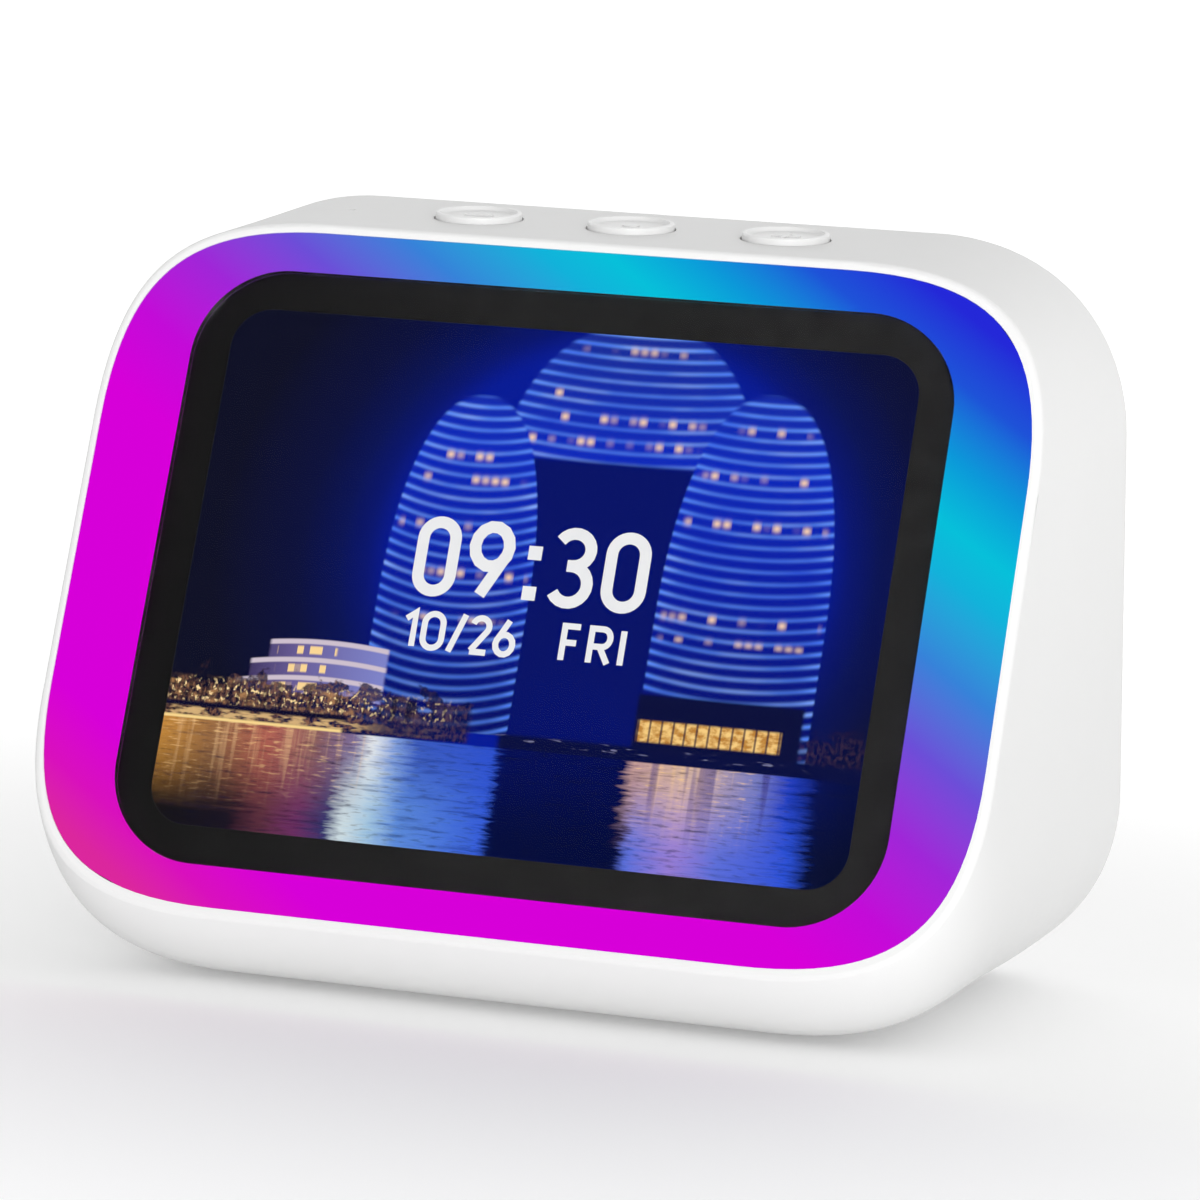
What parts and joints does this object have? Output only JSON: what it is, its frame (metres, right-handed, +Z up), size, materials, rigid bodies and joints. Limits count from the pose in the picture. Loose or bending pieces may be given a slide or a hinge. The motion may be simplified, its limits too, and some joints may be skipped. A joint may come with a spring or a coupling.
{
  "type": "smart display",
  "caption": "White wedge-shaped desktop smart display with a leaning touch screen, a colour-lit ring round it, top push buttons and a rear loudspeaker.",
  "frame": {"origin": "centre of the footprint, at the surface that the rubber foot rests on", "axes": "+Z up, +X to the right of a person facing the screen, -Y towards that person"},
  "size_m": [0.1138, 0.0742, 0.0875],
  "materials": {
    "housing_plastic": "fine satin moulded white",
    "frame_plastic": "matt white moulding",
    "base_plastic": "fine texture white",
    "foot_rubber": "matt grey rubber",
    "ring_diffuser": "milky light diffuser, lit in changing colours",
    "ring_board": "white solder mask",
    "ring_lamps": "clear lamp domes",
    "cover_glass": "clear glass with a thin coating",
    "border_print": "black screen print",
    "touch_film": "clear sensor film",
    "bonding_tape": "black adhesive tape",
    "screen_panel": "lit picture",
    "light_guide": "clear acrylic with white dots",
    "backlight": "row of white lamps",
    "tray_steel": "thin bright sheet",
    "black_foam": "closed-cell foam",
    "flex_film": "amber film",
    "board_green": "green solder mask",
    "chip_black": "black epoxy",
    "thermal_pad": "soft grey pad",
    "can_steel": "tinned sheet",
    "spreader_aluminium": "plain sheet",
    "wifi_steel": "tinned can",
    "connector_nylon": "natural nylon",
    "capacitor_sleeve": "aluminium cans",
    "antenna_film": "black film",
    "button_plastic": "satin moulded white",
    "plunger_plastic": "black acetal",
    "switch_steel": "stamped cover",
    "silicone": "soft silicone",
    "mic_steel": "plated can",
    "grille_plastic": "matt white moulding",
    "basket_steel": "black painted steel",
    "yoke_steel": "zinc plated steel",
    "ferrite": "sintered ferrite",
    "cone_paper": "pressed black paper",
    "coil_copper": "enamelled copper wire",
    "surround_rubber": "butyl rubber",
    "spider_cloth": "doped cloth",
    "box_plastic": "black moulding",
    "socket_plastic": "black moulding",
    "pin_plate": "nickel plate",
    "wire_red_black": "insulated wire",
    "screw_steel": "zinc plated"
  },
  "bodies": {
    "case": {"backlight_strip": "backlight", "base_plate": "base_plastic", "board_capacitors": "capacitor_sleeve", "board_connectors": "connector_nylon", "border_mask": "border_print", "cover_glass": "cover_glass", "display_flex": "flex_film", "display_tape": "bonding_tape", "display_tray": "tray_steel", "front_frame": "frame_plastic", "heat_spreader": "spreader_aluminium", "key_board": "board_green", "key_switches": "switch_steel", "key_wires": "wire_red_black", "large_screws": "screw_steel", "lcd_panel": "screen_panel", "light_guide": "light_guide", "light_ring": "ring_diffuser", "main_board": "board_green", "main_housing": "housing_plastic", "memory_chips": "chip_black", "mic_board": "board_green", "mic_capsule": "mic_steel", "mic_gasket": "silicone", "power_board": "board_green", "power_pin": "pin_plate", "power_socket": "socket_plastic", "power_wires": "wire_red_black", "processor_chip": "chip_black", "rear_grille": "grille_plastic", "ring_led_board": "ring_board", "ring_leds": "ring_lamps", "rubber_foot": "foot_rubber", "shield_can": "can_steel", "small_screws": "screw_steel", "speaker_basket": "basket_steel", "speaker_box": "box_plastic", "speaker_gasket": "black_foam", "speaker_magnet": "ferrite", "speaker_spider": "spider_cloth", "speaker_surround": "surround_rubber", "speaker_top_plate": "yoke_steel", "speaker_wires": "wire_red_black", "speaker_yoke": "yoke_steel", "thermal_pad": "thermal_pad", "touch_sensor": "touch_film", "tray_foam": "black_foam", "wifi_antenna": "antenna_film", "wifi_module": "wifi_steel"},
    "volume_down_cap": {"button_volume_down": "button_plastic"},
    "volume_down_plunger": {"plunger_volume_down": "plunger_plastic"},
    "mic_mute_cap": {"button_mic_mute": "button_plastic"},
    "mic_mute_plunger": {"plunger_mic_mute": "plunger_plastic"},
    "volume_up_cap": {"button_volume_up": "button_plastic"},
    "volume_up_plunger": {"plunger_volume_up": "plunger_plastic"},
    "diaphragm": {"speaker_cone": "cone_paper", "voice_coil": "coil_copper", "dust_cap": "cone_paper"}
  },
  "joints": [
    {"name": "volume_down_press", "type": "slide", "parent": "case", "child": "volume_down_cap", "axis": [0, 0.1045, -0.9945], "range_m": [0, 0.0004], "stiffness_N_per_m": 4000, "springref_m": -0.0001},
    {"name": "volume_down_plunger_slide", "type": "slide", "parent": "case", "child": "volume_down_plunger", "axis": [0, 0.1045, -0.9945], "range_m": [0, 0.0004]},
    {"name": "mic_mute_press", "type": "slide", "parent": "case", "child": "mic_mute_cap", "axis": [0, 0.1045, -0.9945], "range_m": [0, 0.0004], "stiffness_N_per_m": 4000, "springref_m": -0.0001},
    {"name": "mic_mute_plunger_slide", "type": "slide", "parent": "case", "child": "mic_mute_plunger", "axis": [0, 0.1045, -0.9945], "range_m": [0, 0.0004]},
    {"name": "volume_up_press", "type": "slide", "parent": "case", "child": "volume_up_cap", "axis": [0, 0.1045, -0.9945], "range_m": [0, 0.0004], "stiffness_N_per_m": 4000, "springref_m": -0.0001},
    {"name": "volume_up_plunger_slide", "type": "slide", "parent": "case", "child": "volume_up_plunger", "axis": [0, 0.1045, -0.9945], "range_m": [0, 0.0004]},
    {"name": "diaphragm_travel", "type": "slide", "parent": "case", "child": "diaphragm", "axis": [0, 0.9813, 0.1925], "range_m": [-0.0008, 0.0008], "stiffness_N_per_m": 1500, "deforming": ["speaker_surround", "speaker_spider"]}
  ],
  "couplings": [
    {"joint": "volume_down_plunger_slide", "follows": "volume_down_press", "ratio": 1},
    {"joint": "mic_mute_plunger_slide", "follows": "mic_mute_press", "ratio": 1},
    {"joint": "volume_up_plunger_slide", "follows": "volume_up_press", "ratio": 1}
  ]
}
